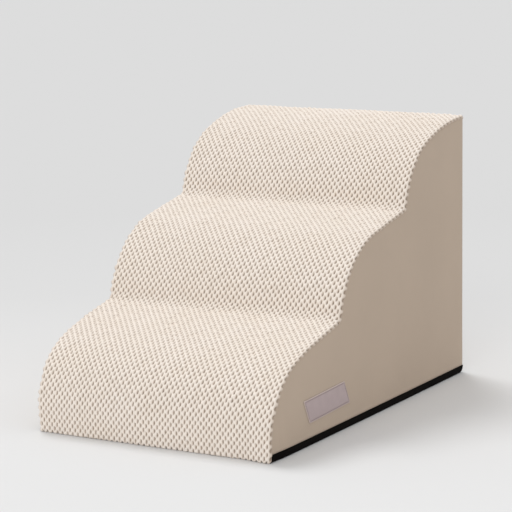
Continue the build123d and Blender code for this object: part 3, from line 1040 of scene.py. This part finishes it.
def tape_material():
    n = Nodes("zip_tape")
    weave = n.weave((420, "Z", 0.5, 30), (620, "X", 0.5, 30))
    tone = n.ramp(weave, [(0.2, srgb(142, 127, 112)), (0.8, srgb(174, 158, 141))])
    return n.finish(tone, n.remap(weave, 0.7, 0.85), n.bump(weave, 0.6, 0.0002), sheen=0.1, specular=0.3)


def spiral_material():
    n = Nodes("zip_spiral")
    fine = n.noise(700, 2, 0.5)
    tone = n.ramp(fine, [(0.3, srgb(98, 86, 74)), (0.7, srgb(120, 106, 93))])
    return n.finish(tone, n.remap(fine, 0.28, 0.4), n.bump(fine, 0.15, 0.0001), specular=0.5)


def metal_material():
    n = Nodes("zip_metal")
    scuffs = n.noise(90, 5, 0.7)
    tone = n.ramp(scuffs, [(0.35, srgb(150, 146, 140)), (0.65, srgb(188, 184, 178))])
    normal = n.bump(n.noise(500, 4, 0.6), 0.12, 0.0001)
    return n.finish(tone, n.remap(scuffs, 0.22, 0.42), normal, metallic=1.0)


def satin_material():
    n = Nodes("care_satin")
    warp = n.wave(700, "X", 0.6, 60)
    tone = n.ramp(warp, [(0.2, srgb(226, 224, 219)), (0.8, srgb(240, 238, 234))])
    rough = n.remap(n.noise(500, 2, 0.5), 0.32, 0.45)
    return n.finish(tone, rough, n.bump(warp, 0.3, 0.0001), sheen=0.1, specular=0.5)


def foam_material(name, light, dark):
    n = Nodes(name)
    cells = n.add("ShaderNodeTexVoronoi", {"Scale": 700, "Vector": n.place()}, feature="F1")
    pores = cells.outputs["Distance"]
    tone = n.ramp(pores, [(0.1, dark), (0.6, light)])
    return n.finish(tone, n.remap(pores, 0.9, 1.0), n.bump(pores, 0.6, 0.0008), specular=0.2)


# Build the pieces


def dress(obj, material, nodes=()):
    """Gives a piece of the cover its material and the nodes that it replaces."""
    obj.data.materials.append(material)
    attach(obj, COVER)
    if nodes:
        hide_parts(*nodes)
    return obj


def metres(sizes):
    return tuple(float(v) * MM for v in sizes)


side_cloth = side_material()
thread = thread_material("thread_taupe", srgb(150, 134, 118), srgb(186, 170, 152))

knit, knit_flat = make_knit()
dress(knit, knit_material(), ["tread_panel"])
metres(knit_flat)

for side, word in ((-1, "left"), (1, "right")):
    panel, area, spans = make_side(side, word)
    dress(panel, side_cloth, [f"{word}_side_panel"])
    metres(spans)

rear, area, spans = make_rear()
dress(rear, side_cloth, ["rear_panel"])
zip_stitches = dress(make_zip_thread(), thread)
metres(spans)

base, base_flat = make_base()
dress(base, base_material(), ["base_panel"])
dots = dress(make_base_dots(), dots_material())
metres(base_flat)

label = dress(make_label(), label_material(), ["label_patch"])
label_thread = thread_material("thread_mauve", srgb(128, 110, 108), srgb(156, 138, 136))
label_rows = dress(make_label_stitches(), label_thread, ["label_stitching"])
label_flat = metres(2 * v for v in LABEL_HALF)

care = dress(make_care_label(), satin_material(), ["care_label"])
metres((CARE_LENGTH, CARE_WIDTH))

# Tapes, coils and top stops for each side; only the tapes' inner edges open out a little before the slider's
# post
tape_cloth = tape_material()
spiral = spiral_material()
metal = metal_material()
for side, word in ((1, "upper"), (-1, "lower")):
    tape = dress(make_tape(side, word), tape_cloth, [f"zip_tape_{word}"])
    coil = dress(make_coil(side, word), spiral, [f"zip_coil_{word}"])
    stop = dress(make_top_stop(side, word), metal, ["zip_top_stops"])
    tape_flat = metres((tape_high[0] - tape_low[0], tape_high[2] - tape_low[2]))
    for piece in (tape, coil, stop):
        metres((coil_low[0], TAPE_FACE, ZIP_Z))
        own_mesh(piece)

support = make_foam("foam_support", FOAM_SPLIT)
comfort = make_foam("foam_comfort", FOAM_TOP_INSET, FOAM_SPLIT - FOAM_GAP)
firm = foam_material("foam_support", srgb(226, 222, 212), srgb(186, 180, 166))
soft = foam_material("foam_comfort", srgb(236, 226, 198), srgb(198, 186, 154))
dress(support, firm, ["support_foam_core"])
dress(comfort, soft, ["comfort_foam_layer"])

for node in ("zip_slider", "zip_pull", "zip_bottom_stop"):
    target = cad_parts[node].data
    target.materials.clear()
    target.materials.append(metal)

# Stage, in metres: a painted pool of light makes the floor brightest round a place in front of the stairs
BACKDROP = srgb(219, 219, 219)
FLOOR_TONES = ((0.05, BACKDROP), (0.36, srgb(223, 223, 223)), (0.6, srgb(233, 233, 233)))
FLOOR_GAIN = 0.925
FLOOR_HALF = 60.0
FLOOR_DROP = 0.0002
BRIGHT_PLACE = (0.4, -1.0, 0)
BRIGHT_REACH = 3.0
WORLD_STRENGTH = 0.7

# The photo's camera, solved from the stairs' edges
CAMERA_ANGLES = (30.09, 10.09, -0.87)
CAMERA_PLACE = (1.600, -2.7729, 0.786)
FOCAL_PIXELS = 2219
PHOTO_PIXELS = 512
SENSOR_WIDTH = 36


def make_floor():
    half = FLOOR_HALF
    mesh = bpy.data.meshes.new("floor")
    mesh.from_pydata([(-half, -half, 0), (half, -half, 0), (half, half, 0), (-half, half, 0)], [], [range(4)])
    floor = add_object("floor", mesh)
    floor.location.z = -FLOOR_DROP
    n = Nodes("floor")
    mapping = n.add("ShaderNodeMapping", {"Vector": n.place()}, vector_type="TEXTURE")
    mapping.inputs["Location"].default_value = BRIGHT_PLACE
    mapping.inputs["Scale"].default_value = (BRIGHT_REACH,) * 3
    inputs = {"Vector": mapping.outputs["Vector"]}
    # Painted pool of light: the floor's colour fades from bright near the stairs to the backdrop's tone
    gradient = n.add("ShaderNodeTexGradient", inputs, gradient_type="SPHERICAL")
    tones = [(place, shaded(tone, FLOOR_GAIN)) for place, tone in FLOOR_TONES]
    colour = n.ramp(gradient.outputs["Fac"], tones)
    floor.data.materials.append(n.finish(colour, 0.95, specular=0.0))


def make_world():
    """White light, with the backdrop's colour where the camera, a mirror or glass sees it."""
    world = bpy.data.worlds.new("studio")
    bpy.context.scene.world = world
    world.use_nodes = True
    tree = world.node_tree
    back = tree.nodes["Background"]
    back.inputs["Color"].default_value = (1, 1, 1, 1)
    back.inputs["Strength"].default_value = WORLD_STRENGTH
    seen = tree.nodes.new("ShaderNodeBackground")
    seen.inputs["Color"].default_value = (*BACKDROP, 1)
    rays = tree.nodes.new("ShaderNodeLightPath").outputs
    sees = rays["Is Camera Ray"]
    for ray in ("Is Glossy Ray", "Is Transmission Ray"):
        either = tree.nodes.new("ShaderNodeMath")
        either.operation = "MAXIMUM"
        tree.links.new(sees, either.inputs[0])
        tree.links.new(rays[ray], either.inputs[1])
        sees = either.outputs[0]
    mix = tree.nodes.new("ShaderNodeMixShader")
    for socket, source in zip(mix.inputs, (sees, back.outputs[0], seen.outputs[0])):
        tree.links.new(source, socket)
    tree.links.new(mix.outputs[0], tree.nodes["World Output"].inputs["Surface"])


def make_sun(name, place, strength, angle):
    """A soft lamp that lights the whole floor alike, from the direction of place."""
    data = bpy.data.lights.new(name, "SUN")
    data.energy = strength
    data.angle = radians(angle)
    lamp = add_object(name, data)
    lamp.rotation_euler = Vector(place).to_track_quat("Z", "Y").to_euler()


def make_camera():
    """A camera at the photo's place, turned by its yaw, pitch and roll."""
    yaw, pitch, roll = (radians(angle) for angle in CAMERA_ANGLES)
    ahead = Vector((-sin(yaw) * cos(pitch), cos(yaw) * cos(pitch), -sin(pitch)))
    level = Vector((cos(yaw), sin(yaw), 0))
    upright = level.cross(ahead)
    right = cos(roll) * level + sin(roll) * upright
    up = -sin(roll) * level + cos(roll) * upright
    data = bpy.data.cameras.new("camera")
    data.sensor_width = SENSOR_WIDTH
    data.lens = SENSOR_WIDTH * FOCAL_PIXELS / PHOTO_PIXELS
    data.clip_end = 100
    camera = add_object("camera", data)
    turn = Matrix((right, up, -ahead)).transposed().to_4x4()
    camera.matrix_world = Matrix.Translation(CAMERA_PLACE) @ turn
    bpy.context.scene.camera = camera


make_floor()
make_world()
make_sun("key", (-1.6, 1.15, 3.3), strength=1.15, angle=26)
make_sun("fill", (0.6, -2.0, 0.9), strength=0.7, angle=50)
make_camera()
bpy.context.scene.view_settings.view_transform = "Standard"
